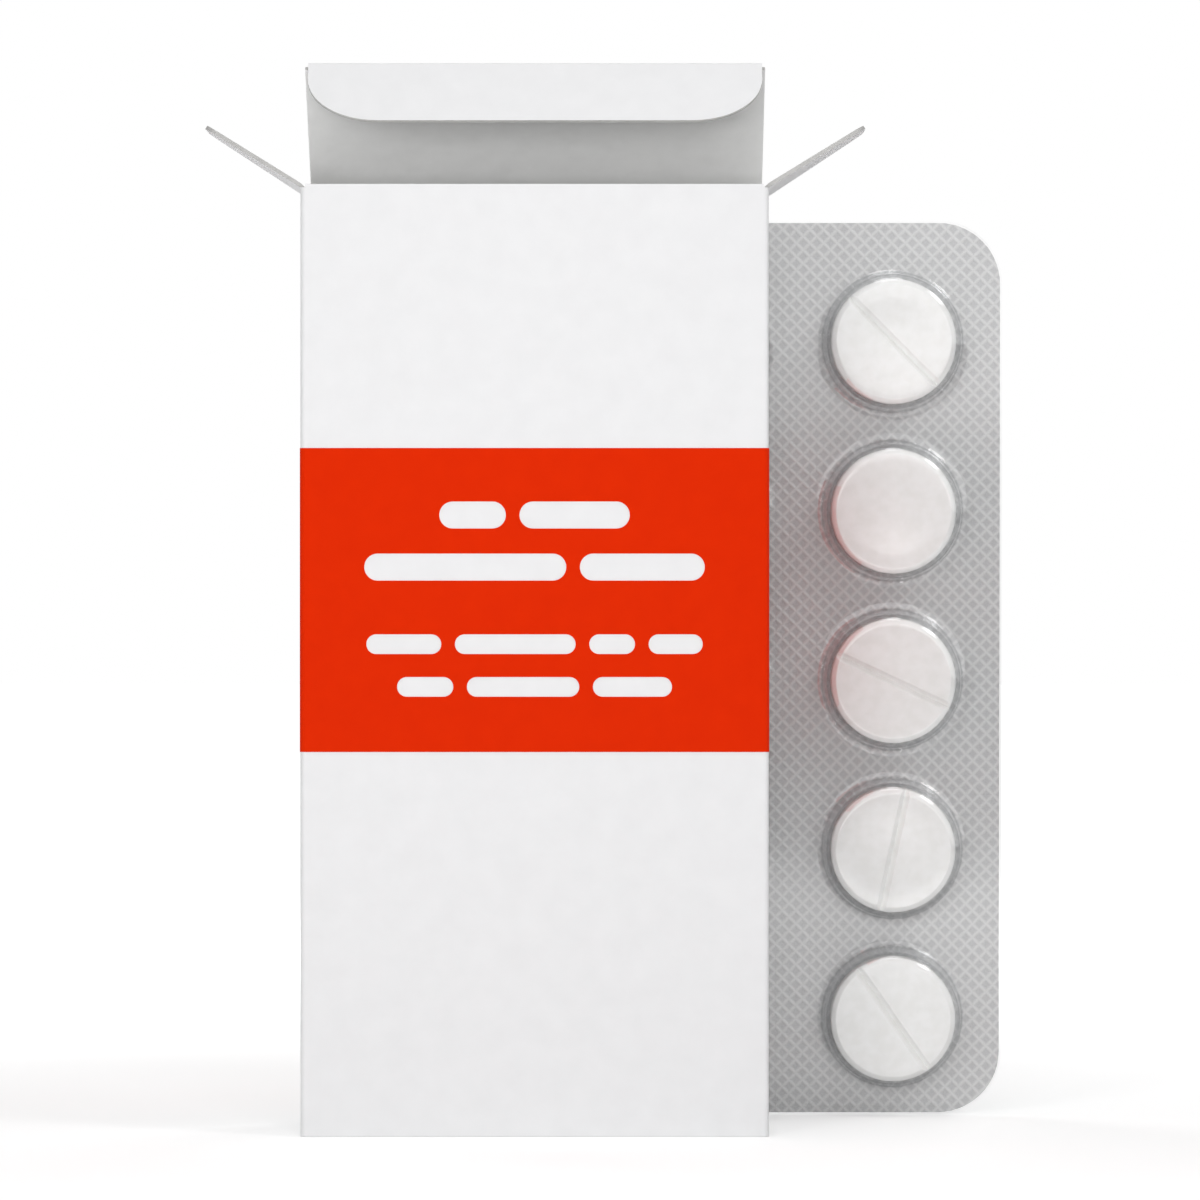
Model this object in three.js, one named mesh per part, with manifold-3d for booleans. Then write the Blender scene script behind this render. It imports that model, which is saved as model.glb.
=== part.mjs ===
// A folding carton for tablets, standing with its top open. One blister card stands behind it to the
// right, and a second card and the folded leaflet are still inside.
// Millimetres. X runs to the right, Y away from the front, Z up, and the origin is the middle of the
// carton's underside.
import * as THREE from "three";
import { mergeVertices } from "three/addons/utils/BufferGeometryUtils.js";
import Module from "manifold-3d";

const wasm = await Module();
wasm.setup();

// Tablets: flat faced and round, with a bevelled edge and a score line across one face
const tabletDiameter = 12.4;
const tabletThickness = 3.8;
const tabletBevel = 0.45;
const scoreWidth = 0.9;
const scoreDepth = 0.35;

// Blister card: a clear formed film with one pocket for each tablet, and the foil sealed to its back
const filmThickness = 0.25;
const foilThickness = 0.1;
const sealGap = 0.05;
const foilClearance = 0.2; // tablet to foil
const pocketHeadroom = 0.25; // tablet to the pocket's flat top
const pocketFit = 0.35; // tablet's edge to the pocket's wall
const pocketShoulder = 0.3; // bevel round the pocket's flat top
const pocketDraft = 0.35; // the wall's lean outwards
const pocketLip = 0.4; // fillet where the wall meets the card
const pocketRows = 5;
const pocketColumns = 2;
const landAcross = 4.3; // flat film between the two columns
const landDown = 1.77; // flat film between rows
const cardSideMargin = 3.39;
const cardTopMargin = 4.5;
const cardBottomMargin = 2.3;
const cardCorner = 6.3;

// Leaflet: thin paper folded to and fro
const paperThickness = 0.15;
const paperGap = 0.2;
const leafletLayers = 6;
const leafletSideShort = 1.64; // narrower than the card on each side
const leafletTopShort = 5.38; // lower than the card

// Carton: one sheet of board
const board = 0.4;
const foldRadius = 0.5; // outside of the four upright folds
const cardSideRoom = 1.46; // card to side panel
const depthRoom = 6; // what two cards and the leaflet leave of the depth
const standGap = 0.1; // under the card and the leaflet
const headRoom = 0.82; // above the card, up to the front panel's edge
const bottomSeam = 0.3; // round the free edges of the glued bottom panel
const bottomInnerShort = 3; // the inner bottom panel stops this far from the front
const bottomFlapLength = 17;
const glueFlapWidth = 12;
const glueFlapInset = 4; // at its two ends

// Lid and tuck flap
const lidLift = 0.1; // closed lid to the front panel's edge
const lidSideInset = 0.2;
const creaseGap = 0.15; // from a turning flap's round root to the panel before it
const tuckRoom = 0.3; // closed tuck flap to the front panel
const tuckSideRoom = 0.1; // tuck flap to the side panels
const tuckLength = 6.7;
const tuckCornerAcross = 6.8;
const tuckCornerDown = 5;
const lidRise = 43; // degrees above level, leaning forward
const tuckFold = 101; // degrees from in line with the lid

// Dust flaps on the side panels
const dustDrop = 0.2; // their folds lie this far under the front panel's edge
const dustLength = 11.5;
const dustTipWidth = 7.5;
const dustFrontInset = 1;
const dustBackInset = 0.3;
const dustShoulder = 1.2;
const dustTipCorner = 1.5;
const dustRise = 32.5; // degrees above level, folded outward

// Printed band
const inkThickness = 0.06;
const bandLow = 36.95;
const bandHigh = 66.13;
// Plain bars left unprinted on the front, in four rows
const smallBar = 1.9;
const largeBar = 2.6;
const barGap = 1.3;
const barRows = [
  { below: 6.43, height: largeBar, lengths: [6.4, 10.6] },
  { below: 11.43, height: largeBar, lengths: [19.4, 12] },
  { below: 18.83, height: smallBar, lengths: [7.2, 11.6, 4.4, 5.2] },
  { below: 22.93, height: smallBar, lengths: [5.4, 10.8, 7.6] },
]; // below is from the band's upper edge to the row's middle

// Where the open card stands
const cardCentreX = 25.78;
const cardLean = 1.5; // degrees, top towards the carton
const cardStandOff = 0.3; // its pockets to the carton's back

const arcSteps = 3;
const cardArcSteps = 4;
const roundSteps = 20;
const innerRoundSteps = 12;
const rootSteps = 12;
const cutReach = 1; // how far a cutter runs past what it cuts
const mergeDistance = 1e-5; // vertices closer than this are one

// Sizes that follow from these
const pocketDepth = foilClearance + tabletThickness + pocketHeadroom;
const pocketWallRadius = tabletDiameter / 2 + pocketFit;
const pocketBaseRadius = pocketWallRadius + pocketDraft + pocketLip + filmThickness;
const columnPitch = 2 * pocketBaseRadius + landAcross;
const rowPitch = 2 * pocketBaseRadius + landDown;
const cardWidth = 2 * (cardSideMargin + pocketBaseRadius) + (pocketColumns - 1) * columnPitch;
const cardHeight =
  cardTopMargin + cardBottomMargin + 2 * pocketBaseRadius + (pocketRows - 1) * rowPitch;
const cardFront = pocketDepth + filmThickness;
const cardBack = sealGap + foilThickness;
const leafletWidth = cardWidth - 2 * leafletSideShort;
const leafletHeight = cardHeight - leafletTopShort;
const leafletThickness = leafletLayers * paperThickness + (leafletLayers - 1) * paperGap;

const boxWidth = cardWidth + 2 * (cardSideRoom + board);
const boxDepth = 2 * (cardFront + cardBack) + leafletThickness + depthRoom + 2 * board;
const floorTop = 3 * board;
const boxHeight = floorTop + standGap + cardHeight + headRoom;
const halfWidth = boxWidth / 2;
const halfDepth = boxDepth / 2;

const lidAxisY = halfDepth - board / 2;
const lidAxisZ = boxHeight + lidLift + board / 2;
const lidLength = lidAxisY + halfDepth - 1.5 * board - tuckRoom;
const dustAxisZ = boxHeight - dustDrop;
const dustAxisX = halfWidth - board / 2;
const rootClearance = board / 2 + creaseGap;

const whiteBoard = new THREE.MeshStandardMaterial({ color: 0xf1f1f2, roughness: 0.55, metalness: 0 });
const redInk = new THREE.MeshStandardMaterial({ color: 0xe22a08, roughness: 0.45, metalness: 0 });
const clearFilm = new THREE.MeshStandardMaterial({
  color: 0xf4f6f8,
  roughness: 0.08,
  metalness: 0,
  transparent: true,
  opacity: 0.35,
});
const foil = new THREE.MeshStandardMaterial({ color: 0xc4c4c5, roughness: 0.38, metalness: 0.9 });
const tabletWhite = new THREE.MeshStandardMaterial({ color: 0xf5f5f4, roughness: 0.7, metalness: 0 });
const paper = new THREE.MeshStandardMaterial({ color: 0xf0efea, roughness: 0.85, metalness: 0 });

function radians(degrees) {
  return THREE.MathUtils.degToRad(degrees);
}

// A closed geometry as a solid that can be joined and cut.
function solidOf(geometry) {
  const bare = geometry.clone();
  bare.deleteAttribute("normal");
  bare.deleteAttribute("uv");
  const merged = mergeVertices(bare, mergeDistance);
  const vertProperties = merged.attributes.position.array;
  const triVerts = Uint32Array.from(merged.index.array);
  return new wasm.Manifold(new wasm.Mesh({ numProp: 3, vertProperties, triVerts }));
}

function meshOf(name, solid, material) {
  const { vertProperties, triVerts } = solid.getMesh();
  const indexed = new THREE.BufferGeometry();
  indexed.setAttribute("position", new THREE.BufferAttribute(vertProperties, 3));
  indexed.setIndex(new THREE.BufferAttribute(triVerts, 1));
  const geometry = indexed.toNonIndexed();
  geometry.computeVertexNormals();
  const mesh = new THREE.Mesh(geometry, material);
  mesh.name = name;
  return mesh;
}

function boxBetween(low, high) {
  const size = high.map((value, axis) => value - low[axis]);
  const middle = high.map((value, axis) => (value + low[axis]) / 2);
  return solidOf(new THREE.BoxGeometry(...size).translate(...middle));
}

// A rectangle with round corners about the origin, as a shape or as a hole in one.
function roundedRectangle(outline, width, height, radius) {
  const x = width / 2 - radius;
  const y = height / 2 - radius;
  outline.absarc(x, y, radius, 0, Math.PI / 2);
  outline.absarc(-x, y, radius, Math.PI / 2, Math.PI);
  outline.absarc(-x, -y, radius, Math.PI, 1.5 * Math.PI);
  outline.absarc(x, -y, radius, 1.5 * Math.PI, 2 * Math.PI);
  outline.closePath();
  return outline;
}

function extruded(shape, depth, curveSegments) {
  return new THREE.ExtrudeGeometry(shape, { depth, curveSegments, bevelEnabled: false });
}

// A flat sheet that stands upright: the shape's x and y become X and Z, between two Y planes.
function upright(shape, front, back, curveSegments) {
  return extruded(shape, back - front, curveSegments).rotateX(Math.PI / 2).translate(0, back, 0);
}

// A four-sided sleeve with round upright folds, of one wall thickness.
function sleeve(width, depth, radius, wall, low, high) {
  const shape = roundedRectangle(new THREE.Shape(), width, depth, radius);
  const hole = roundedRectangle(new THREE.Path(), width - 2 * wall, depth - 2 * wall, radius - wall);
  shape.holes.push(hole);
  return solidOf(extruded(shape, high - low, arcSteps).translate(0, 0, low));
}

// One flap with its round root on the hinge line. It lies level, the hinge along X through the
// origin, and the outline's second value runs from the hinge towards -Y.
function hingedFlap(outline, rootWidth, rootMiddle) {
  const sheet = extruded(outline, board, arcSteps).rotateX(Math.PI).translate(0, 0, board / 2);
  const root = new THREE.CylinderGeometry(board / 2, board / 2, rootWidth, rootSteps)
    .rotateZ(Math.PI / 2)
    .translate(rootMiddle, 0, 0);
  return solidOf(sheet).add(solidOf(root));
}

function dustFlapOutline() {
  const front = -(halfDepth - board - dustFrontInset);
  const back = halfDepth - board - dustBackInset;
  const middle = (front + back) / 2;
  const tipFront = middle - dustTipWidth / 2;
  const tipBack = middle + dustTipWidth / 2;
  const tip = dustLength;
  const corner = dustTipCorner;
  const outline = new THREE.Shape();
  outline.moveTo(front, 0);
  outline.lineTo(back, 0);
  outline.lineTo(back, dustShoulder);
  outline.lineTo(tipBack, tip - corner);
  outline.quadraticCurveTo(tipBack, tip, tipBack - corner, tip);
  outline.lineTo(tipFront + corner, tip);
  outline.quadraticCurveTo(tipFront, tip, tipFront, tip - corner);
  outline.lineTo(front, dustShoulder);
  outline.closePath();
  return { outline, width: back - front, middle };
}

// A dust flap folded outward: side is 1 on the right and -1 on the left.
function dustFlap(side) {
  const { outline, width, middle } = dustFlapOutline();
  const right = hingedFlap(outline, width, middle).rotate([0, 0, 90]).rotate([0, -dustRise, 0]);
  const flap = side > 0 ? right : right.mirror([1, 0, 0]);
  return flap.translate([side * dustAxisX, 0, dustAxisZ]);
}

// The seam: a strip of the back panel, glued inside the left one.
function glueFlap() {
  const back = halfDepth - board;
  const outer = -(halfWidth - board);
  const low = floorTop + glueFlapInset;
  const high = boxHeight - glueFlapInset;
  const front = back - glueFlapWidth;
  return boxBetween([outer - board / 2, front, low], [outer + board, back + board / 2, high]);
}

// Glued shut: two short flaps inside, then the inner panel, then the outer one that it stands on.
function bottomPanels() {
  const x = halfWidth - board / 2;
  const y = halfDepth - board / 2;
  const seamX = halfWidth - board - bottomSeam;
  const seamY = halfDepth - board - bottomSeam;
  const outerPanel = boxBetween([-seamX, -y, 0], [seamX, seamY, board]);
  const innerFront = -(halfDepth - board - bottomInnerShort);
  const innerPanel = boxBetween([-seamX, innerFront, board], [seamX, y, 2 * board]);
  const flapEnd = halfWidth - bottomFlapLength;
  const leftFlap = boxBetween([-x, -seamY, 2 * board], [-flapEnd, seamY, floorTop]);
  const rightFlap = boxBetween([flapEnd, -seamY, 2 * board], [x, seamY, floorTop]);
  return outerPanel.add(innerPanel).add(leftFlap).add(rightFlap);
}

// The whole sheet apart from the lid: walls, bottom, seam and the dust flaps folded outward.
function carton() {
  const innerY = halfDepth - board;
  const pastX = halfWidth + cutReach;
  const pastZ = boxHeight + cutReach;
  const sideTrim = boxBetween([-pastX, -innerY, dustAxisZ], [pastX, innerY, pastZ]);
  const backTop = lidAxisZ - rootClearance;
  const backTrim = boxBetween([-pastX, 0, backTop], [pastX, halfDepth + cutReach, pastZ]);
  return sleeve(boxWidth, boxDepth, foldRadius, board, 0, boxHeight)
    .add(bottomPanels())
    .subtract(sideTrim)
    .subtract(backTrim)
    .add(glueFlap())
    .add(dustFlap(-1))
    .add(dustFlap(1));
}

// The bars of one row stand side by side about the middle of the front.
function barCutters({ below, height, lengths }) {
  const total = lengths.reduce((sum, length) => sum + length, (lengths.length - 1) * barGap);
  let left = -total / 2;
  return lengths.map((length) => {
    const shape = roundedRectangle(new THREE.Shape(), length, height, height / 2);
    const bar = upright(shape, -halfDepth - cutReach, -halfDepth + board / 2, arcSteps);
    const cutter = solidOf(bar.translate(left + length / 2, 0, bandHigh - below));
    left += length + barGap;
    return cutter;
  });
}

function printedBand() {
  const width = boxWidth + 2 * inkThickness;
  const depth = boxDepth + 2 * inkThickness;
  let band = sleeve(width, depth, foldRadius + inkThickness, inkThickness, bandLow, bandHigh);
  for (const row of barRows) {
    for (const cutter of barCutters(row)) band = band.subtract(cutter);
  }
  return band;
}

function lidPanel() {
  const half = halfWidth - lidSideInset;
  const end = lidLength - rootClearance;
  const outline = new THREE.Shape();
  outline.moveTo(-half, 0);
  outline.lineTo(half, 0);
  outline.lineTo(half, end);
  outline.lineTo(-half, end);
  outline.closePath();
  return hingedFlap(outline, 2 * half, 0);
}

function tuckFlap() {
  const half = halfWidth - board - tuckSideRoom;
  const across = tuckCornerAcross;
  const down = tuckCornerDown;
  const outline = new THREE.Shape();
  outline.moveTo(-half, 0);
  outline.lineTo(half, 0);
  outline.lineTo(half, tuckLength - down);
  outline.absellipse(half - across, tuckLength - down, across, down, 0, Math.PI / 2, false, 0);
  outline.lineTo(-half + across, tuckLength);
  outline.absellipse(-half + across, tuckLength - down, across, down, Math.PI / 2, Math.PI, false, 0);
  outline.closePath();
  return hingedFlap(outline, 2 * half, 0);
}

// Lid and tuck flap, nested as they hinge. Closed, both angles would be 0 and a right angle.
function lidAssembly() {
  const lid = new THREE.Group();
  lid.position.set(0, lidAxisY, lidAxisZ);
  lid.rotation.x = -radians(lidRise);
  lid.add(meshOf("lid_panel", lidPanel(), whiteBoard));
  const tuck = new THREE.Group();
  tuck.position.set(0, -lidLength, 0);
  tuck.rotation.x = radians(tuckFold);
  tuck.add(meshOf("tuck_flap", tuckFlap(), whiteBoard));
  lid.add(tuck);
  return lid;
}

// A round form on the card's Y axis, its profile's heights towards the front of the card.
function turned(profile, steps) {
  const points = profile.map(([radius, height]) => new THREE.Vector2(radius, height));
  return new THREE.LatheGeometry(points, steps).rotateX(Math.PI);
}

function pocketOutside(steps) {
  const top = pocketDepth + filmThickness;
  const wall = pocketWallRadius + filmThickness;
  const foot = filmThickness + pocketLip;
  return turned(
    [
      [0, 0],
      [pocketBaseRadius, 0],
      [pocketBaseRadius, filmThickness],
      [wall + pocketDraft, foot],
      [wall, top - pocketShoulder],
      [wall - pocketShoulder, top],
      [0, top],
    ],
    steps,
  );
}

function pocketInside(steps) {
  const wall = pocketWallRadius;
  return turned(
    [
      [0, -cutReach],
      [wall + pocketDraft + pocketLip, -cutReach],
      [wall + pocketDraft + pocketLip, 0],
      [wall + pocketDraft, pocketLip],
      [wall, pocketDepth - pocketShoulder],
      [wall - pocketShoulder, pocketDepth],
      [0, pocketDepth],
    ],
    steps,
  );
}

// One tablet, its score line at an angle from +X towards +Z as the card's front is seen. The wedge
// is as wide as the line where it meets the face.
function tablet(steps, scoreAngle) {
  const radius = tabletDiameter / 2;
  const bevel = tabletBevel;
  const top = tabletThickness;
  const profile = [
    [0, 0],
    [radius - bevel, 0],
    [radius, bevel],
    [radius, top - bevel],
    [radius - bevel, top],
    [0, top],
  ];
  const body = solidOf(turned(profile, steps));
  if (scoreAngle === null) return body;
  const wedge = new THREE.Shape();
  wedge.moveTo(0, -top + scoreDepth);
  wedge.lineTo(-scoreWidth, -top - scoreDepth);
  wedge.lineTo(scoreWidth, -top - scoreDepth);
  wedge.closePath();
  const groove = extruded(wedge, 2 * (radius + cutReach), 1)
    .translate(0, 0, -radius - cutReach)
    .rotateY(radians(90 - scoreAngle));
  return body.subtract(solidOf(groove));
}

// Pocket centres, from the top of the right column down, then the left column.
function pocketCentres() {
  const centres = [];
  for (let column = 0; column < pocketColumns; column += 1) {
    for (let row = 0; row < pocketRows; row += 1) {
      const x = ((pocketColumns - 1) / 2 - column) * columnPitch;
      const z = cardBottomMargin + pocketBaseRadius + (pocketRows - 1 - row) * rowPitch;
      centres.push([x, z]);
    }
  }
  return centres;
}

function cardOutline() {
  return roundedRectangle(new THREE.Shape(), cardWidth, cardHeight, cardCorner);
}

function cardSheet(front, back) {
  return solidOf(upright(cardOutline(), front, back, cardArcSteps).translate(0, 0, cardHeight / 2));
}

function formedFilm(steps) {
  let film = cardSheet(-filmThickness, 0);
  const outside = solidOf(pocketOutside(steps));
  const inside = solidOf(pocketInside(steps));
  for (const [x, z] of pocketCentres()) film = film.add(outside.translate([x, 0, z]));
  for (const [x, z] of pocketCentres()) film = film.subtract(inside.translate([x, 0, z]));
  return film;
}

// A whole card, standing on its bottom edge with the film's sealed face at Y 0.
function blisterCard(prefix, steps, scoreAngles) {
  const card = new THREE.Group();
  card.add(meshOf(`${prefix}blister_film`, formedFilm(steps), clearFilm));
  card.add(meshOf(`${prefix}blister_foil`, cardSheet(sealGap, cardBack), foil));
  pocketCentres().forEach(([x, z], index) => {
    const number = String(index + 1).padStart(2, "0");
    const angle = scoreAngles[index % scoreAngles.length];
    const mesh = meshOf(`${prefix}tablet_${number}`, tablet(steps, angle), tabletWhite);
    mesh.position.set(x, -foilClearance, z);
    card.add(mesh);
  });
  return card;
}

function leaflet() {
  const pitch = paperThickness + paperGap;
  const half = leafletWidth / 2;
  let sheet = null;
  for (let layer = 0; layer < leafletLayers; layer += 1) {
    const y = layer * pitch;
    const leaf = boxBetween([-half, y, 0], [half, y + paperThickness, leafletHeight]);
    sheet = sheet ? sheet.add(leaf) : leaf;
    if (layer === 0) continue;
    const side = layer % 2 ? 1 : -1;
    const ends = [side * half, side * (half - paperThickness)];
    const fold = boxBetween(
      [Math.min(...ends), y - pitch, 0],
      [Math.max(...ends), y + paperThickness, leafletHeight],
    );
    sheet = sheet.add(fold);
  }
  return sheet;
}

const boxOfTablets = new THREE.Group();
boxOfTablets.add(meshOf("carton", carton(), whiteBoard));
boxOfTablets.add(meshOf("printed_band", printedBand(), redInk));
boxOfTablets.add(lidAssembly());

// The open card leans on the carton's back with its upper pockets
const lean = radians(cardLean);
const topPocket = cardHeight - cardTopMargin;
const openCard = blisterCard("", roundSteps, [-45, null, -25, 78, -55]);
openCard.position.set(
  cardCentreX,
  halfDepth + cardStandOff + cardFront * Math.cos(lean) + topPocket * Math.sin(lean),
  filmThickness * Math.sin(lean),
);
openCard.rotation.x = lean;
boxOfTablets.add(openCard);

// Inside, the leaflet lies against the back panel and the other card in front of it
const leafletFront = halfDepth - board - 2 * standGap - leafletThickness;
const innerCard = blisterCard("inner_", innerRoundSteps, [20, -70, 55, null, -15]);
innerCard.position.set(0, leafletFront - 2 * standGap - cardBack, floorTop + standGap);
boxOfTablets.add(innerCard);
const leafletMesh = meshOf("leaflet", leaflet(), paper);
leafletMesh.position.set(0, leafletFront, floorTop + standGap);
boxOfTablets.add(leafletMesh);

export default boxOfTablets;
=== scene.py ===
import math
import bmesh
import bpy
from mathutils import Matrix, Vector


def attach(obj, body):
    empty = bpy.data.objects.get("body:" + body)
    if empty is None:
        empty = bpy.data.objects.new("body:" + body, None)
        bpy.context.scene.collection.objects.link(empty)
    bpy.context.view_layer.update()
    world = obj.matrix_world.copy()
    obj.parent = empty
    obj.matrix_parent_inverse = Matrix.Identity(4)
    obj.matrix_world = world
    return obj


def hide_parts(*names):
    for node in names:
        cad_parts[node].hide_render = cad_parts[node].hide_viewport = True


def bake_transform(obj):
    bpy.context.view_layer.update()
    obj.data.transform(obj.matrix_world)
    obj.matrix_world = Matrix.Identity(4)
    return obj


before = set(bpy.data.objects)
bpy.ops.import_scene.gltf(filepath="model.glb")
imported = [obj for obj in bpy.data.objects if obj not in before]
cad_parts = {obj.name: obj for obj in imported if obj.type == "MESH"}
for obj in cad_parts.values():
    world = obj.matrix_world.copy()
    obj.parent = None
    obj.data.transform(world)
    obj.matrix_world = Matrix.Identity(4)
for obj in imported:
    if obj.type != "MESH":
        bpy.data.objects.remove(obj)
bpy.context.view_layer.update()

mm = 0.001

# Frame: X right, Y away from the front, Z up. Lengths in the dictionaries are millimetres.
camera = {"x": 6.286, "y": -569, "z": 51.54, "lens": 175}

def clearSelection():
    if bpy.context.object and bpy.context.object.mode != "OBJECT":
        bpy.ops.object.mode_set(mode="OBJECT")
    bpy.ops.object.select_all(action="DESELECT")

def takeUp(piece):
    clearSelection()
    piece.select_set(True)
    bpy.context.view_layer.objects.active = piece

def settle(piece):
    takeUp(piece)
    bpy.ops.object.transform_apply(location=True, rotation=True, scale=True)

def editing(piece):
    takeUp(piece)
    bpy.ops.object.mode_set(mode="EDIT")
    bpy.ops.mesh.select_mode(type="VERT")

def doneEditing():
    bpy.ops.object.mode_set(mode="OBJECT")

# selects vertices, edges or faces of the piece in hand by a test
def pick(piece, kind, test):
    bpy.ops.mesh.select_mode(type=kind)
    bpy.ops.mesh.select_all(action="DESELECT")
    work = bmesh.from_edit_mesh(piece.data)
    parts = {"VERT": work.verts, "EDGE": work.edges, "FACE": work.faces}[kind]
    work.normal_update()
    for part in parts:
        if test(part):
            part.select_set(True)
    work.select_flush_mode()
    bmesh.update_edit_mesh(piece.data)

def middleOf(edge):
    return (edge.verts[0].co + edge.verts[1].co) / 2 / mm

def near(a, b, reach=0.01):
    return abs(a - b) < reach

def applied(piece, kind, **values):
    takeUp(piece)
    step = piece.modifiers.new(kind.title(), kind)
    for name, value in values.items():
        setattr(step, name, value)
    bpy.ops.object.modifier_apply(modifier=step.name)

def named(name):
    piece = bpy.context.object
    piece.name = name
    piece.data.name = name
    return piece

def block(name, low, high):
    clearSelection()
    size = [(b - a) * mm for a, b in zip(low, high)]
    middle = [(a + b) / 2 * mm for a, b in zip(low, high)]
    bpy.ops.mesh.primitive_cube_add(size=1, location=middle)
    piece = named(name)
    piece.scale = size
    settle(piece)
    return piece

# a flat plate in the XY plane at one height, ready to be trimmed and thickened
def plate(name, low, high, height):
    clearSelection()
    middle = [(a + b) / 2 * mm for a, b in zip(low, high)]
    bpy.ops.mesh.primitive_plane_add(size=1, location=(*middle, height * mm))
    piece = named(name)
    piece.scale = ((high[0] - low[0]) * mm, (high[1] - low[1]) * mm, 1)
    settle(piece)
    return piece

# a chain of edges through the points, drawn by extruding one vertex
def drawLine(name, points):
    clearSelection()
    first = Vector(points[0]) * mm
    bpy.ops.mesh.primitive_plane_add(size=mm, location=first)
    piece = named(name)
    settle(piece)
    editing(piece)
    bpy.ops.mesh.select_all(action="SELECT")
    bpy.ops.mesh.merge(type="CENTER")
    here = first
    for point in points[1:]:
        there = Vector(point) * mm
        bpy.ops.mesh.extrude_vertices_move(TRANSFORM_OT_translate={"value": there - here})
        here = there
    doneEditing()
    return piece

def arc(centre, radius, start, end, steps):
    angles = [math.radians(start + (end - start) * i / steps) for i in range(steps + 1)]
    return [(centre[0] + radius * math.cos(a), centre[1] + radius * math.sin(a)) for a in angles]

# turns a profile of (radius, height) about the upright axis
def turnedRound(name, profile, steps):
    piece = drawLine(name, [(radius, 0, height) for radius, height in profile])
    editing(piece)
    bpy.ops.mesh.select_all(action="SELECT")
    bpy.ops.mesh.spin(steps=steps, angle=2 * math.pi, center=(0, 0, 0), axis=(0, 0, 1))
    bpy.ops.mesh.select_all(action="SELECT")
    bpy.ops.mesh.remove_doubles(threshold=1e-6)
    doneEditing()
    return piece

def roundCorners(piece, test, radius, steps):
    editing(piece)
    pick(piece, "VERT", test)
    bpy.ops.mesh.bevel(affect="VERTICES", offset=radius * mm, segments=steps, clamp_overlap=False)
    doneEditing()

def joined(name, pieces):
    takeUp(pieces[0])
    for piece in pieces[1:]:
        piece.select_set(True)
    bpy.ops.object.join()
    return named(name)

def copyOf(piece, name):
    takeUp(piece)
    bpy.ops.object.duplicate(linked=False)
    return named(name)

def putAt(piece, place, turn):
    takeUp(piece)
    piece.rotation_euler = [math.radians(angle) for angle in turn]
    piece.location = Vector(place) * mm
    settle(piece)

def smooth(piece, angle):
    takeUp(piece)
    bpy.ops.object.shade_smooth_by_angle(angle=math.radians(angle), keep_sharp_edges=True)

# thickness goes in behind the face: outer face, inner face and cut edge get a finish each
def thicken(piece, thickness, finishes):
    piece.data.materials.clear()
    for finish in finishes:
        piece.data.materials.append(finish)
    last = len(finishes) - 1
    applied(piece, "SOLIDIFY", thickness=thickness * mm, offset=-1, use_even_offset=True,
            material_offset=min(1, last), material_offset_rim=last)

def softenEdges(piece, width, limit, steps=2, keep=lambda middle: False):
    editing(piece)
    def sharp(e):
        if len(e.link_faces) != 2 or keep(middleOf(e)):
            return False
        return e.calc_face_angle() > math.radians(limit)
    pick(piece, "EDGE", sharp)
    bpy.ops.mesh.bevel(offset=width * mm, segments=steps)
    doneEditing()

def evenNormals(piece, angle):
    smooth(piece, angle)
    applied(piece, "WEIGHTED_NORMAL", mode="FACE_AREA", weight=50, keep_sharp=True)

def rides(piece, body, slot, *nodes):
    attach(piece, body)
    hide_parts(*nodes)


# Finishes

def linear(colour):
    channels = [int(colour[i:i + 2], 16) / 255 for i in (0, 2, 4)]
    return tuple(c / 12.92 if c <= 0.04045 else ((c + 0.055) / 1.055) ** 2.4 for c in channels) + (1.0,)

def newFinish(name, roughness):
    finish = bpy.data.materials.new(name)
    finish.use_nodes = True
    shader = finish.node_tree.nodes["Principled BSDF"]
    shader.inputs["Roughness"].default_value = roughness
    return finish, finish.node_tree.nodes, finish.node_tree.links, shader

def noise(nodes, links, scale, detail, stretch=(1, 1, 1)):
    place = nodes.new("ShaderNodeTexCoord")
    turn = nodes.new("ShaderNodeMapping")
    turn.inputs["Scale"].default_value = stretch
    grain = nodes.new("ShaderNodeTexNoise")
    grain.inputs["Scale"].default_value = scale
    grain.inputs["Detail"].default_value = detail
    links.new(place.outputs["Object"], turn.inputs["Vector"])
    links.new(turn.outputs["Vector"], grain.inputs["Vector"])
    return grain.outputs["Fac"]

def rampOf(nodes, links, source, stops):
    ramp = nodes.new("ShaderNodeValToRGB")
    while len(ramp.color_ramp.elements) < len(stops):
        ramp.color_ramp.elements.new(0.5)
    for element, (place, colour) in zip(ramp.color_ramp.elements, stops):
        element.position = place
        element.color = linear(colour)
    links.new(source, ramp.inputs["Fac"])
    return ramp.outputs["Color"]

def bumped(nodes, links, shader, heights, strength, distance):
    bump = nodes.new("ShaderNodeBump")
    bump.inputs["Strength"].default_value = strength
    bump.inputs["Distance"].default_value = distance * mm
    links.new(heights, bump.inputs["Height"])
    links.new(bump.outputs["Normal"], shader.inputs["Normal"])

def mathOf(nodes, links, how, a, b=None, clamp=False):
    step = nodes.new("ShaderNodeMath")
    step.operation = how
    step.use_clamp = clamp
    for socket, value in zip(step.inputs, (a, b)):
        if value is None:
            continue
        if isinstance(value, (int, float)):
            socket.default_value = value
        else:
            links.new(value, socket)
    return step.outputs["Value"]

# board and paper: two close tones mottled together, and a fine fibre relief
def fibreFinish(name, pale, deep, roughness, shine, cloud, fibre, relief):
    finish, nodes, links, shader = newFinish(name, roughness)
    shader.inputs["Specular IOR Level"].default_value = shine
    mottle = noise(nodes, links, cloud, 6)
    links.new(rampOf(nodes, links, mottle, [(0.3, deep), (0.7, pale)]), shader.inputs["Base Color"])
    bumped(nodes, links, shader, noise(nodes, links, fibre, 3), 0.5, relief)
    return finish

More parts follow.
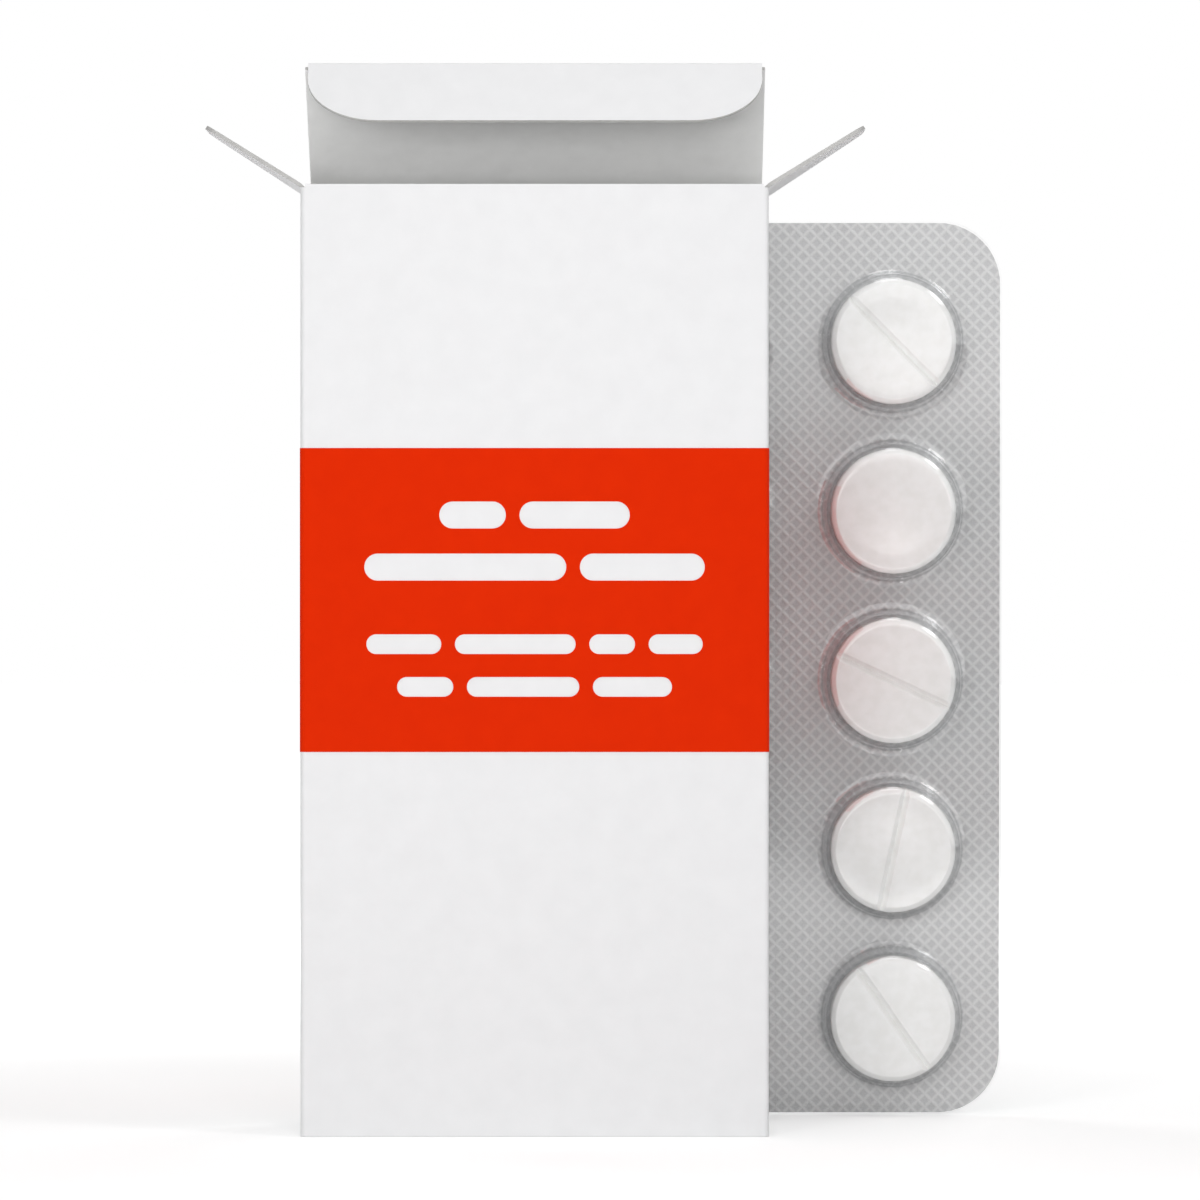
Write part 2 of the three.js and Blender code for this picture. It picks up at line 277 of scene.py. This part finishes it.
boardLook = {"pale": "f1f1f2", "deep": "eeeeef", "roughness": 0.5, "shine": 0.3,
             "cloud": 420, "fibre": 2400, "relief": 0.001}
innerLook = {"pale": "fbfbfa", "deep": "f5f5f4", "roughness": 0.8, "shine": 0.2,
             "cloud": 520, "fibre": 3200, "relief": 0.015}
edgeLook = {"pale": "cccbc9", "deep": "c2c1bf", "roughness": 0.9, "shine": 0.1,
            "cloud": 900, "fibre": 2600, "relief": 0.002}
paperLook = {"pale": "f5f4f0", "deep": "eae9e4", "roughness": 0.8, "shine": 0.2,
             "cloud": 300, "fibre": 3600, "relief": 0.02}
inkLook = {"pale": "e42c01", "deep": "e12a01", "roughness": 0.5, "shine": 0.06,
           "cloud": 420, "fibre": 2600, "relief": 0.008}
coatedBoard = fibreFinish("coatedBoard", **boardLook)
plainBoard = fibreFinish("plainBoard", **innerLook)
cutBoard = fibreFinish("cutBoard", **edgeLook)
thinPaper = fibreFinish("thinPaper", **paperLook)
redInk = fibreFinish("redInk", **inkLook)
board = [coatedBoard, plainBoard, cutBoard]

# tablet: pressed powder, matt, with faint pits
powderLook = {"pale": "fafaf9", "deep": "f4f4f2", "roughness": 0.62,
              "speck": 900, "pit": 3000, "relief": 0.015}

def pressedPowder():
    finish, nodes, links, shader = newFinish("pressedPowder", powderLook["roughness"])
    speck = noise(nodes, links, powderLook["speck"], 4)
    tone = rampOf(nodes, links, speck, [(0.35, powderLook["deep"]), (0.65, powderLook["pale"])])
    links.new(tone, shader.inputs["Base Color"])
    bumped(nodes, links, shader, noise(nodes, links, powderLook["pit"], 3), 0.4, powderLook["relief"])
    return finish

# formed film: see-through, glossy, and greyer where it is seen edge on
filmLook = {"straight": "ffffff", "slanting": "e6e7e8", "tintFrom": 0.15, "tintTo": 0.8,
            "gloss": 0.07, "shine": 0.09, "growth": 5.0}

def clearPlastic():
    finish, nodes, links, shader = newFinish("clearPlastic", filmLook["gloss"])
    out = nodes["Material Output"]
    nodes.remove(shader)
    see = nodes.new("ShaderNodeBsdfTransparent")
    shine = nodes.new("ShaderNodeBsdfGlossy")
    shine.inputs["Roughness"].default_value = filmLook["gloss"]
    shine.inputs["Color"].default_value = (1, 1, 1, 1)
    facing = nodes.new("ShaderNodeLayerWeight")
    facing.inputs["Blend"].default_value = 0.5
    stops = [(filmLook["tintFrom"], filmLook["straight"]), (filmLook["tintTo"], filmLook["slanting"])]
    tint = rampOf(nodes, links, facing.outputs["Facing"], stops)
    links.new(tint, see.inputs["Color"])
    # the shine grows from straight to glancing, alike on both faces of the film
    glancing = mathOf(nodes, links, "POWER", facing.outputs["Facing"], filmLook["growth"])
    glancing = mathOf(nodes, links, "MULTIPLY", glancing, 1 - filmLook["shine"])
    glancing = mathOf(nodes, links, "ADD", glancing, filmLook["shine"], clamp=True)
    both = nodes.new("ShaderNodeMixShader")
    links.new(glancing, both.inputs["Fac"])
    links.new(see.outputs["BSDF"], both.inputs[1])
    links.new(shine.outputs["BSDF"], both.inputs[2])
    # light on its way to the tablets passes straight through
    path = nodes.new("ShaderNodeLightPath")
    passing = mathOf(nodes, links, "MAXIMUM", path.outputs["Is Shadow Ray"], path.outputs["Is Diffuse Ray"])
    clear = nodes.new("ShaderNodeBsdfTransparent")
    clear.inputs["Color"].default_value = (1, 1, 1, 1)
    whole = nodes.new("ShaderNodeMixShader")
    links.new(passing, whole.inputs["Fac"])
    links.new(both.outputs["Shader"], whole.inputs[1])
    links.new(clear.outputs["BSDF"], whole.inputs[2])
    links.new(whole.outputs["Shader"], out.inputs["Surface"])
    return finish

# lidding foil: aluminium pressed with a diamond knurl by the sealing plate
foilLook = {"pitch": 0.963, "lean": 45, "line": 0.3, "metal": "dfdfdf", "groove": "c8c8c9",
            "metallic": 0.55, "roughness": 0.5, "relief": 0.045}

def knurledFoil():
    finish, nodes, links, shader = newFinish("knurledFoil", foilLook["roughness"])
    place = nodes.new("ShaderNodeTexCoord")
    split = nodes.new("ShaderNodeSeparateXYZ")
    links.new(place.outputs["Object"], split.inputs["Vector"])
    ridges = []
    pitch = foilLook["pitch"] * mm
    for side in (1, -1):
        angle = math.radians(side * foilLook["lean"])
        across = mathOf(nodes, links, "MULTIPLY", split.outputs["X"], math.cos(angle) / pitch)
        up = mathOf(nodes, links, "MULTIPLY", split.outputs["Z"], math.sin(angle) / pitch)
        along = mathOf(nodes, links, "ADD", across, up)
        ridges.append(mathOf(nodes, links, "PINGPONG", along, 0.5))
    nearest = mathOf(nodes, links, "MINIMUM", ridges[0], ridges[1])
    slope = nodes.new("ShaderNodeMapRange")
    slope.interpolation_type = "SMOOTHSTEP"
    slope.inputs["From Min"].default_value = 0
    slope.inputs["From Max"].default_value = foilLook["line"]
    links.new(nearest, slope.inputs["Value"])
    # the hollows between the knurl lines get the darker colour and the raised lines the paler one: painted
    # shade in the hollows, on top of the bump
    stops = [(0.0, foilLook["metal"]), (1.0, foilLook["groove"])]
    tone = rampOf(nodes, links, slope.outputs["Result"], stops)
    links.new(tone, shader.inputs["Base Color"])
    shader.inputs["Metallic"].default_value = foilLook["metallic"]
    lift = mathOf(nodes, links, "SUBTRACT", 1.0, slope.outputs["Result"])
    bumped(nodes, links, shader, lift, 0.7, foilLook["relief"])
    return finish

tabletWhite = pressedPowder()
clearFilm = clearPlastic()
foil = knurledFoil()
print("finishes mixed")


# Carton: one sheet folded round, with its dust flaps out and its bottom glued shut
carton = {
    "width": 45.0, "depth": 18.0, "board": 0.4, "fold": 0.5,
    "sideTop": 91.19, "frontTop": 91.5, "backTop": 91.45,
    "flapFront": -7.6, "flapBack": 8.3, "flapLength": 11.39, "flapShoulder": 1.09,
    "flapTipWidth": 7.5, "flapTipCorner": 1.5, "flapRise": 32.5,
    "bottomSeam": 0.3, "bottomInnerShort": 3, "bottomFlapLength": 17,
    "glueFlapWidth": 12, "glueFlapInset": 4, "glueFlapTaper": 0.955,
    "flapFold": 0.3, "bottomFront": 0.6, "panelCorner": 1.2, "thinner": 0.98,
}
boardEdge = {"width": 0.05, "angle": 50}

def cartonWalls():
    c = carton
    halfX, halfY = c["width"] / 2, c["depth"] / 2
    walls = block("walls", (-halfX, -halfY, 0), (halfX, halfY, c["sideTop"]))
    editing(walls)
    pick(walls, "FACE", lambda f: abs(f.normal.z) > 0.9)
    bpy.ops.mesh.delete(type="FACE")
    pick(walls, "EDGE", lambda e: abs(e.verts[0].co.z - e.verts[1].co.z) > 10 * mm)
    bpy.ops.mesh.bevel(offset=c["fold"] * mm, segments=5)
    for cutY in (c["flapFront"], c["flapBack"]):
        pick(walls, "FACE", lambda f: abs(f.normal.x) > 0.99)
        bpy.ops.mesh.bisect(plane_co=(0, cutY * mm, 0), plane_no=(0, 1, 0))
    # the front and back stand a little higher than the sides
    for side, top in ((-1, c["frontTop"]), (1, c["backTop"])):
        def onPanel(e):
            return near(middleOf(e).z, c["sideTop"]) and near(middleOf(e).y, side * halfY)
        pick(walls, "EDGE", onPanel)
        lift = (0, 0, (top - c["sideTop"]) * mm)
        bpy.ops.mesh.extrude_edges_move(TRANSFORM_OT_translate={"value": lift})
    # dust flaps: a short shoulder, then a taper to the tip
    rise = math.radians(c["flapRise"])
    middleY = (c["flapFront"] + c["flapBack"]) / 2
    for side in (1, -1):
        out = Vector((side * math.cos(rise), 0, math.sin(rise))) * mm
        def onFold(e):
            m = middleOf(e)
            atTop = near(m.z, c["sideTop"]) and near(m.x, side * halfX)
            return atTop and c["flapFront"] < m.y < c["flapBack"]
        pick(walls, "EDGE", onFold)
        for reach in (c["flapShoulder"], c["flapLength"] - c["flapShoulder"]):
            bpy.ops.mesh.extrude_edges_move(TRANSFORM_OT_translate={"value": out * reach})
        taper = c["flapTipWidth"] / (c["flapBack"] - c["flapFront"])
        bpy.ops.transform.resize(value=(1, taper, 1), center_override=(0, middleY * mm, 0))
        tip = halfX + c["flapLength"] * math.cos(rise)
        pick(walls, "VERT", lambda v: near(v.co.x / mm, side * tip))
        bpy.ops.mesh.bevel(affect="VERTICES", offset=c["flapTipCorner"] * mm, segments=6)
        pick(walls, "EDGE", onFold)
        bpy.ops.mesh.bevel(offset=c["flapFold"] * mm, segments=3)
    doneEditing()
    return walls

def cartonBottom():
    c = carton
    halfX, halfY, b, seam = c["width"] / 2, c["depth"] / 2, c["board"], c["bottomSeam"]
    seamX, seamY = halfX - b - seam, halfY - b - seam
    outer = plate("outerPanel", (-seamX, -halfY + c["bottomFront"]), (seamX, seamY), b)
    inner = plate("innerPanel", (-seamX, -halfY + b + c["bottomInnerShort"]), (seamX, halfY - b), 2 * b)
    flapEnd = halfX - c["bottomFlapLength"]
    leftFlap = plate("leftFlap", (-halfX + b, -seamY), (-flapEnd, seamY), 3 * b)
    rightFlap = plate("rightFlap", (flapEnd, -seamY), (halfX - b, seamY), 3 * b)
    panels = [outer, inner, leftFlap, rightFlap]
    for panel in panels:
        roundCorners(panel, lambda v: True, c["panelCorner"], 4)
        thicken(panel, b * c["thinner"], [plainBoard, coatedBoard, cutBoard])
    # the strip of the back panel that is glued inside the left one
    low, high = 3 * b + c["glueFlapInset"], c["frontTop"] - c["glueFlapInset"]
    left = -halfX + b
    seamStrip = plate("seamStrip", (-high, -c["glueFlapWidth"]), (-low, 0), 0)
    editing(seamStrip)
    pick(seamStrip, "EDGE", lambda e: near(middleOf(e).y, -c["glueFlapWidth"]))
    middle = (-(low + high) / 2 * mm, 0, 0)
    bpy.ops.transform.resize(value=(c["glueFlapTaper"], 1, 1), center_override=middle)
    doneEditing()
    putAt(seamStrip, (left + b, halfY - b, 0), (0, 90, 0))
    thicken(seamStrip, b * c["thinner"], [plainBoard, coatedBoard, cutBoard])
    return panels + [seamStrip]

def whiteCarton():
    c = carton
    walls = cartonWalls()
    thicken(walls, c["board"], board)
    editing(walls)
    bpy.ops.mesh.select_all(action="SELECT")
    bpy.ops.mesh.normals_make_consistent(inside=False)
    doneEditing()
    softenEdges(walls, boardEdge["width"], boardEdge["angle"])
    made = joined("whiteCarton", [walls] + cartonBottom())
    evenNormals(made, 28)
    return made

cartonPiece = whiteCarton()
rides(cartonPiece, "box", "white_board", "carton")
print("carton folded")


# Red band with plain bars left unprinted
band = {
    "low": 36.95, "high": 66.13, "ink": 0.05, "gap": 0.01, "barGap": 1.3,
    "rows": [(6.43, 2.6, [6.4, 10.6]), (11.43, 2.6, [19.4, 12]),
             (18.83, 1.9, [7.2, 11.6, 4.4, 5.2]), (22.93, 1.9, [5.4, 10.8, 7.6])],
}

def barCutter(middle, length, height, front):
    bar = block("bar", (middle[0] - length / 2, front - 0.5, middle[1] - height / 2),
                (middle[0] + length / 2, front + 0.3, middle[1] + height / 2))
    editing(bar)
    pick(bar, "EDGE", lambda e: abs(e.verts[0].co.y - e.verts[1].co.y) > 0.5 * mm)
    bpy.ops.mesh.bevel(offset=height * 0.499 * mm, segments=10)
    doneEditing()
    return bar

def redBand():
    b = band
    out = b["ink"] + b["gap"]
    halfX, halfY = carton["width"] / 2 + out, carton["depth"] / 2 + out
    ink = block("redBand", (-halfX, -halfY, b["low"]), (halfX, halfY, b["high"]))
    editing(ink)
    pick(ink, "FACE", lambda f: abs(f.normal.z) > 0.9)
    bpy.ops.mesh.delete(type="FACE")
    pick(ink, "EDGE", lambda e: abs(e.verts[0].co.z - e.verts[1].co.z) > 10 * mm)
    bpy.ops.mesh.bevel(offset=(carton["fold"] + out) * mm, segments=5)
    doneEditing()
    thicken(ink, b["ink"], [redInk])
    bars = []
    for below, height, lengths in b["rows"]:
        left = -(sum(lengths) + b["barGap"] * (len(lengths) - 1)) / 2
        for length in lengths:
            bars.append(barCutter((left + length / 2, b["high"] - below), length, height, -halfY))
            left += length + b["barGap"]
    cutter = joined("bars", bars)
    applied(ink, "BOOLEAN", operation="DIFFERENCE", object=cutter, solver="EXACT")
    bpy.data.objects.remove(cutter, do_unlink=True)
    evenNormals(ink, 28)
    return ink

bandPiece = redBand()
rides(bandPiece, "box", "red_ink", "printed_band")
print("band printed")


# Lid and tuck flap, each drawn level from its hinge towards the front and then turned about it
lid = {"hinge": (0, 8.8, 91.8), "rise": 43, "length": 16.9, "halfWidth": 22.3, "clear": 0.35,
       "creaseRound": 0.16}
tuck = {"fold": 101, "length": 6.7, "halfWidth": 22.0, "cornerAcross": 6.8, "cornerDown": 5.0}
rise = math.radians(lid["rise"])
tuckHinge = (0, lid["hinge"][1] - lid["length"] * math.cos(rise),
             lid["hinge"][2] + lid["length"] * math.sin(rise))
tuckTurn = tuck["fold"] - lid["rise"]

def lidBoard():
    thick = carton["board"]
    half, clear = lid["halfWidth"], lid["clear"]
    panel = plate("lidBoard", (-half, -lid["length"] + clear), (half, -clear), thick / 2)
    thicken(panel, thick, board)
    softenEdges(panel, boardEdge["width"], boardEdge["angle"], keep=lambda m: abs(m.x) < 1)
    evenNormals(panel, 28)
    putAt(panel, lid["hinge"], (-lid["rise"], 0, 0))
    return panel

def tuckBoard():
    t, thick = tuck, carton["board"]
    squeeze = t["cornerDown"] / t["cornerAcross"]
    half = t["halfWidth"] * squeeze
    flap = plate("tuckBoard", (-half, -t["length"]), (half, -lid["clear"]), thick / 2)
    roundCorners(flap, lambda v: near(v.co.y / mm, -t["length"]), t["cornerDown"], 14)
    flap.scale.x = 1 / squeeze
    settle(flap)
    thicken(flap, thick, board)
    softenEdges(flap, boardEdge["width"], boardEdge["angle"], keep=lambda m: near(m.y, -lid["clear"]))
    evenNormals(flap, 28)
    putAt(flap, tuckHinge, (tuckTurn, 0, 0))
    return flap

# the scored strip that bends at a hinge, from one board's end to the next one's
def creaseStrip(name, hinge, before, after, halfWidth):
    thick, clear = carton["board"], lid["clear"]
    bend = math.radians(after - before) / 2
    def onBoard(turn, distance, lift):
        a = math.radians(turn)
        y = distance * -math.cos(a) - lift * math.sin(a)
        z = distance * -math.sin(a) + lift * math.cos(a)
        return hinge[1] + y, hinge[2] + z
    corner = onBoard(before, math.tan(bend) * thick / 2, thick / 2)
    side = [onBoard(before, -clear, thick / 2), corner, onBoard(after, clear, thick / 2)]
    strip = drawLine(name, [(-halfWidth, y, z) for y, z in side])
    editing(strip)
    bpy.ops.mesh.select_all(action="SELECT")
    bpy.ops.mesh.extrude_edges_move(TRANSFORM_OT_translate={"value": (2 * halfWidth * mm, 0, 0)})
    pick(strip, "FACE", lambda f: True)
    work = bmesh.from_edit_mesh(strip.data)
    work.faces.ensure_lookup_table()
    out = Vector((0, *onBoard(before, 0, 1))) - Vector(hinge)
    if work.faces[0].normal.dot(out) < 0:
        bpy.ops.mesh.flip_normals()
    doneEditing()
    thicken(strip, thick, board)
    editing(strip)
    outer = Vector((0, *corner))
    def alongCorner(e):
        across = abs(e.verts[0].co.x - e.verts[1].co.x) > 1 * mm
        return across and (Vector((0, *middleOf(e)[1:])) - outer).length < 0.01
    pick(strip, "EDGE", alongCorner)
    bpy.ops.mesh.bevel(offset=lid["creaseRound"] * mm, segments=4)
    doneEditing()
    evenNormals(strip, 40)
    return strip

lidPiece = lidBoard()
rides(lidPiece, "lid", "white_board", "lid_panel")
tuckPiece = tuckBoard()
rides(tuckPiece, "tuck", "white_board", "tuck_flap")
lidCrease = creaseStrip("lidCrease", lid["hinge"], -90, -lid["rise"], lid["halfWidth"])
tuckCrease = creaseStrip("tuckCrease", tuckHinge, -lid["rise"], tuckTurn, tuck["halfWidth"])

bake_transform(lidCrease)
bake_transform(tuckCrease)
print("lid and tuck flap hung")


# Blister card, drawn lying on its foil: X across, Y up the card, Z out of the front
card = {
    "width": 41.28, "height": 89.38, "corner": 6.3,
    "film": 0.25, "foil": 0.1, "foilInset": 0.15, "sealGap": 0.05,
    "columnPitch": 19.4, "rowPitch": 16.87, "lowestPocket": 9.85, "columns": 2, "rows": 5,
    "wall": 6.7, "draft": 0.3, "lip": 0.5, "shoulder": 1.15, "top": 4.5, "flatRing": 0.3,
    "tabletRadius": 6.2, "tabletBottom": 0.2, "tabletTop": 4.0, "bevel": 0.45, "ease": 0.09,
    "scoreWidth": 0.9, "scoreDepth": 0.8, "scoreEdge": 0.07,
}

def pocket():
    c = card
    foot = c["wall"] + c["draft"] + c["lip"]
    low = c["film"] + c["lip"]
    inner = c["wall"] - c["shoulder"]
    profile = [(foot + c["flatRing"], c["film"])]
    profile += arc((foot, low), c["lip"], 270, 180, 5)
    profile += arc((inner, c["top"] - c["shoulder"]), c["shoulder"], 0, 90, 7)
    for along, sag in ((0.75, 0.02), (0.4, 0.05), (0, 0.06)):
        profile.append((inner * along, c["top"] - sag))
    return turnedRound("pocket", profile, 64)

def cardPlate(name, height, inset=0):
    halfX, halfY = card["width"] / 2 - inset, card["height"] / 2 - inset
    sheet = plate(name, (-halfX, -halfY), (halfX, halfY), height)
    roundCorners(sheet, lambda v: True, card["corner"] - inset, 14)
    putAt(sheet, (0, halfY + inset, 0), (0, 0, 0))
    return sheet

def filmSheet():
    c = card
    formed = pocket()
    applied(formed, "ARRAY", count=c["columns"], use_relative_offset=False, use_constant_offset=True,
            constant_offset_displace=(c["columnPitch"] * mm, 0, 0))
    applied(formed, "ARRAY", count=c["rows"], use_relative_offset=False, use_constant_offset=True,
            constant_offset_displace=(0, c["rowPitch"] * mm, 0))
    putAt(formed, (-c["columnPitch"] / 2, c["lowestPocket"], 0), (0, 0, 0))
    outline = cardPlate("outline", c["film"])
    editing(outline)
    bpy.ops.mesh.select_all(action="SELECT")
    bpy.ops.mesh.delete(type="ONLY_FACE")
    doneEditing()
    film = joined("film", [formed, outline])
    editing(film)
    pick(film, "EDGE", lambda e: len(e.link_faces) < 2)
    bpy.ops.mesh.fill(use_beauty=True)
    bpy.ops.mesh.select_all(action="SELECT")
    bpy.ops.mesh.normals_make_consistent(inside=False)
    work = bmesh.from_edit_mesh(film.data)
    flat = max(work.faces, key=lambda f: abs(f.normal.z) * f.calc_area())
    if flat.normal.z < 0:
        bpy.ops.mesh.flip_normals()
    doneEditing()
    thicken(film, c["film"], [clearFilm])
    evenNormals(film, 35)
    return film

def foilSheet():
    sheet = cardPlate("foil", -card["sealGap"], card["foilInset"])
    thicken(sheet, card["foil"], [foil])
    evenNormals(sheet, 30)
    return sheet

def tabletBlank():
    c = card
    r, low, top, b = c["tabletRadius"], c["tabletBottom"], c["tabletTop"], c["bevel"]
    ease = c["ease"]
    profile = [(0, low), (r - b - ease, low), (r - b, low + 0.03),
               (r - 0.05, low + b - 0.05), (r, low + b + ease),
               (r, top - b - ease), (r - 0.05, top - b + 0.05),
               (r - b, top - 0.03), (r - b - ease, top), (0, top)]
    blank = turnedRound("tablet", profile, 64)
    blank.data.materials.append(tabletWhite)
    editing(blank)
    bpy.ops.mesh.select_all(action="SELECT")
    bpy.ops.mesh.normals_make_consistent(inside=False)
    doneEditing()
    return blank

def scoredTablet(blank):
    c = card
    made = copyOf(blank, "scoredTablet")
    reach = c["tabletRadius"] + 1
    cutter = block("scoreCutter", (-reach, -0.5, -0.5), (reach, 0.5, 0.5))
    cutter.rotation_euler.x = math.radians(45)
    settle(cutter)
    diagonal = math.sqrt(2)
    cutter.scale = (1, c["scoreWidth"] / diagonal * 2, c["scoreDepth"] / diagonal * 4)
    cutter.location.z = (c["tabletTop"] + c["scoreDepth"]) * mm
    settle(cutter)
    applied(made, "BOOLEAN", operation="DIFFERENCE", object=cutter, solver="EXACT")
    bpy.data.objects.remove(cutter, do_unlink=True)
    softenEdges(made, c["scoreEdge"], 24, 3)
    return made

openCard = {"middle": 25.78, "behind": 16.0204, "foot": 0.00654, "lean": 1.5,
            "scores": [-45, None, -25, 78, -55]}
heldCard = {"middle": 0, "behind": 6.15, "foot": 1.3, "lean": 0,
            "scores": [20, -70, 55, None, -15]}

filmModel = filmSheet()
foilModel = foilSheet()
blankTablet = tabletBlank()
scoreTablet = scoredTablet(blankTablet)
evenNormals(blankTablet, 30)
evenNormals(scoreTablet, 30)

def standCard(prefix, nodePrefix, where):
    place = (where["middle"], where["behind"], where["foot"])
    turn = (90 + where["lean"], 0, 0)
    film = copyOf(filmModel, prefix + "Film")
    putAt(film, place, turn)
    rides(film, "box", "clear_film", nodePrefix + "blister_film")
    backing = copyOf(foilModel, prefix + "Foil")
    putAt(backing, place, turn)
    rides(backing, "box", "lidding_foil", nodePrefix + "blister_foil")
    number = 0
    for column in range(card["columns"]):
        for row in range(card["rows"]):
            number += 1
            x = (0.5 - column) * card["columnPitch"]
            y = card["lowestPocket"] + (card["rows"] - 1 - row) * card["rowPitch"]
            score = where["scores"][row]
            model = blankTablet if score is None else scoreTablet
            tablet = copyOf(model, f"{prefix}Tablet{number:02d}")
            putAt(tablet, (x, y, 0), (0, 0, score or 0))
            putAt(tablet, place, turn)
            rides(tablet, "box", "tablet", f"{nodePrefix}tablet_{number:02d}")

standCard("open", "", openCard)
standCard("held", "inner_", heldCard)
for model in (filmModel, foilModel, blankTablet, scoreTablet):
    bpy.data.objects.remove(model, do_unlink=True)
print("blister cards stood in place")


# Leaflet: thin paper folded to and fro
leaflet = {"width": 38, "height": 84, "layers": 6, "paper": 0.15, "pitch": 0.35,
           "front": 6.5, "foot": 1.3, "lastShort": 0.6}

def foldedLeaflet():
    f = leaflet
    bend = f["pitch"] / 2
    half = f["width"] / 2 - bend - f["paper"] / 2
    points = []
    for layer in range(f["layers"]):
        side = 1 if layer % 2 == 0 else -1
        y = layer * f["pitch"]
        if layer == 0:
            points.append((-half, y, 0))
        if layer == f["layers"] - 1:
            points.append((side * (half - f["lastShort"]), y, 0))
            break
        turn = arc((0, 0), bend, -90, 90, 6)
        points += [(side * (half + x), y + bend + dy, 0) for x, dy in turn]
    sheet = drawLine("foldedLeaflet", points)
    editing(sheet)
    bpy.ops.mesh.select_all(action="SELECT")
    bpy.ops.mesh.extrude_edges_move(TRANSFORM_OT_translate={"value": (0, 0, f["height"] * mm)})
    doneEditing()
    sheet.data.materials.append(thinPaper)
    applied(sheet, "SOLIDIFY", thickness=f["paper"] * mm, offset=0, use_even_offset=True)
    putAt(sheet, (0, f["front"] + f["paper"] / 2, f["foot"]), (0, 0, 0))
    evenNormals(sheet, 35)
    return sheet

leafletPiece = foldedLeaflet()
rides(leafletPiece, "box", "leaflet_paper", "leaflet")
print("leaflet folded")


# Floor, light and camera
room = {
    "floor": "f4f4f4", "floorSize": 6, "floorHeight": -0.00002, "soft": 0.26, "background": 1.0,
    "fade": (("From Min", 0.06), ("From Max", 0.30), ("To Min", 0.30), ("To Max", 0.82)),
}

def whiteRoom():
    clearSelection()
    bpy.ops.mesh.primitive_plane_add(size=room["floorSize"], location=(0, 0, room["floorHeight"]))
    floor = named("paleFloor")
    finish, nodes, links, shader = newFinish("paleFloor", 0.9)
    shader.inputs["Base Color"].default_value = linear(room["floor"])
    shader.inputs["Specular IOR Level"].default_value = 0.0
    # away from the box the floor runs out into the white of the room, and near it it holds the shadow
    place = nodes.new("ShaderNodeTexCoord")
    far = nodes.new("ShaderNodeVectorMath")
    far.operation = "LENGTH"
    links.new(place.outputs["Object"], far.inputs[0])
    fade = nodes.new("ShaderNodeMapRange")
    fade.interpolation_type = "SMOOTHSTEP"
    for socket, value in room["fade"]:
        fade.inputs[socket].default_value = value
    links.new(far.outputs["Value"], fade.inputs["Value"])
    path = nodes.new("ShaderNodeLightPath")
    glow = mathOf(nodes, links, "MULTIPLY", path.outputs["Is Camera Ray"], fade.outputs["Result"])
    links.new(glow, shader.inputs["Emission Strength"])
    shader.inputs["Emission Color"].default_value = (1, 1, 1, 1)
    floor.data.materials.append(finish)

    world = bpy.data.worlds.new("room")
    bpy.context.scene.world = world
    world.use_nodes = True
    nodes, links = world.node_tree.nodes, world.node_tree.links
    nodes.clear()
    path = nodes.new("ShaderNodeLightPath")
    seen = mathOf(nodes, links, "MAXIMUM", path.outputs["Is Camera Ray"], path.outputs["Is Glossy Ray"])
    seen = mathOf(nodes, links, "MAXIMUM", seen, path.outputs["Is Transmission Ray"])
    soft = nodes.new("ShaderNodeBackground")
    soft.inputs["Color"].default_value = (1, 1, 1, 1)
    soft.inputs["Strength"].default_value = room["soft"]
    plain = nodes.new("ShaderNodeBackground")
    plain.inputs["Color"].default_value = (1, 1, 1, 1)
    plain.inputs["Strength"].default_value = room["background"]
    both = nodes.new("ShaderNodeMixShader")
    out = nodes.new("ShaderNodeOutputWorld")
    links.new(seen, both.inputs["Fac"])
    links.new(soft.outputs["Background"], both.inputs[1])
    links.new(plain.outputs["Background"], both.inputs[2])
    links.new(both.outputs["Shader"], out.inputs["Surface"])

def lamp(name, place, size, power, aim=(0, 0, 0.05), mirrored=True):
    clearSelection()
    bpy.ops.object.light_add(type="AREA", location=place)
    made = bpy.context.object
    made.name = name
    made.data.shape = "SQUARE"
    made.data.size = size
    made.data.energy = power
    made.visible_camera = False
    made.visible_glossy = mirrored
    made.rotation_euler = (Vector(aim) - Vector(place)).to_track_quat("-Z", "Y").to_euler()

whiteRoom()
lamp("upperRight", (0.21, -0.15, 0.25), 0.07, 0.14)
lamp("overhead", (0.02, -0.06, 0.36), 0.12, 0.15)
lamp("frontRight", (0.02, -0.25, 0.097), 0.08, 0.15, aim=(0, 0, 0.09), mirrored=False)
lamp("frontLeft", (-0.10, -0.25, 0.097), 0.08, 0.18, aim=(0, 0, 0.09), mirrored=False)
lamp("backRight", (0.20, 0.32, 0.14), 0.20, 0.48, mirrored=False)
lamp("backLeft", (-0.24, 0.30, 0.14), 0.20, 0.50, mirrored=False)

clearSelection()
eyePlace = (camera["x"] * mm, camera["y"] * mm, camera["z"] * mm)
bpy.ops.object.camera_add(location=eyePlace, rotation=(math.pi / 2, 0, 0))
eye = bpy.context.object
eye.data.sensor_width = 36
eye.data.lens = camera["lens"]
bpy.context.scene.camera = eye
bpy.context.scene.view_settings.view_transform = "Standard"
print("room lit")
